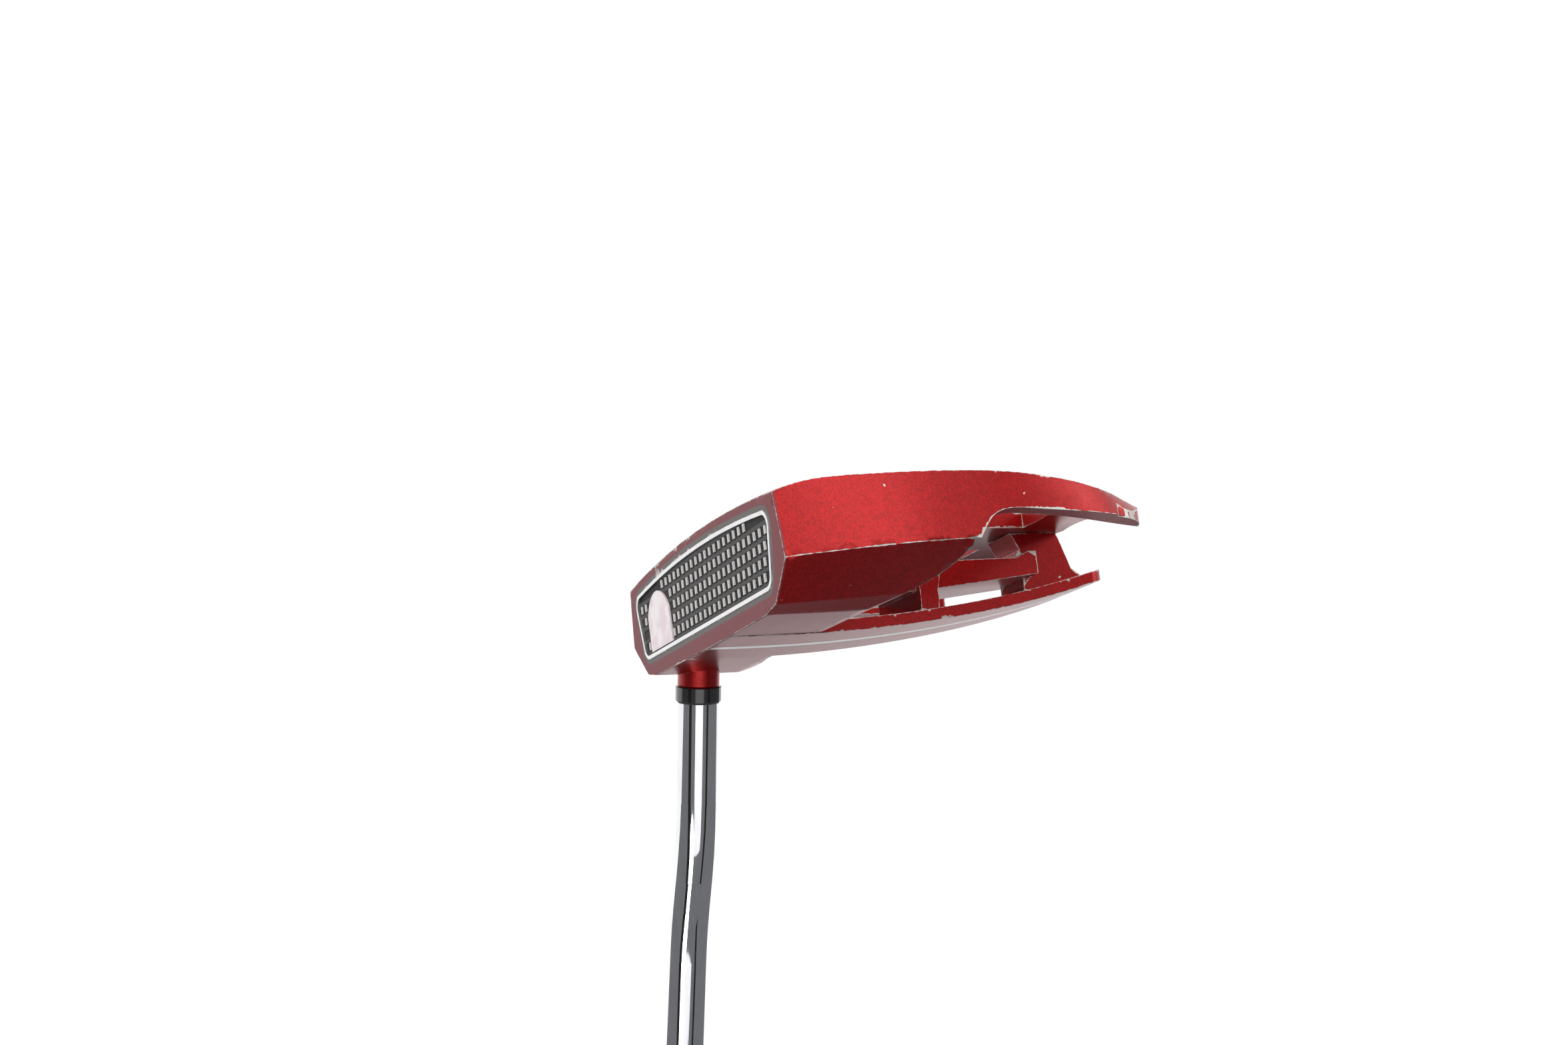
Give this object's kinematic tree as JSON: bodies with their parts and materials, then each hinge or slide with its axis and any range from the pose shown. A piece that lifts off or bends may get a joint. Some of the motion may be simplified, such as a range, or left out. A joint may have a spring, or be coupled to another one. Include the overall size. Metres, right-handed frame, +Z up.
{
  "type": "mallet putter",
  "caption": "Golf club for rolling the ball on the green: a winged mallet head with a hinged face insert and a crown bridge, a double-bend shaft and a rubber grip.",
  "frame": {"origin": "On the ground at the middle of the flat rest pad of the sole, 14 mm behind the leading edge, with the club standing at address", "axes": "+Z up; the face looks along -Y, the way the ball leaves; the toe points along -X and the shaft leans towards +X, the heel side and the player"},
  "size_m": [0.4131, 0.092, 0.814],
  "materials": {
    "red_paint": "candy red metallic over cast steel, worn to bare metal on the sharp edges",
    "bond_film": "thin cured adhesive",
    "line_white": "white paint fill",
    "foam_tape": "thin double-sided tape",
    "insert_dark": "dark grey elastomer, fine matt grain",
    "rim_metal": "bright satin metal",
    "hinge_steel": "satin stainless steel",
    "badge_gloss": "pale pinkish white, glossy",
    "weight_steel": "turned stainless steel",
    "ring_rubber": "black nitrile",
    "epoxy": "cured amber epoxy",
    "ferrule_black": "black, polished",
    "shaft_chrome": "plated, mirror bright",
    "tape_cloth": "thin double-sided grip tape",
    "grip_rubber": "black moulded rubber with a fine pattern of shallow grooves"
  },
  "bodies": {
    "root": {"head_body": "red_paint", "spine_bridge": "red_paint", "bridge_bond": "bond_film", "sight_line": "line_white", "insert_tape": "foam_tape", "insert_bed": "insert_dark", "insert_rim": "rim_metal", "face_hinges": "hinge_steel", "badge": "badge_gloss", "toe_weight": "weight_steel", "toe_weight_ring": "ring_rubber", "heel_weight": "weight_steel", "heel_weight_ring": "ring_rubber", "hosel": "red_paint", "epoxy_sleeve": "epoxy", "ferrule": "ferrule_black", "shaft": "shaft_chrome", "grip_tape": "tape_cloth", "grip_sleeve": "grip_rubber", "grip_cap": "grip_rubber"}
  },
  "joints": []
}
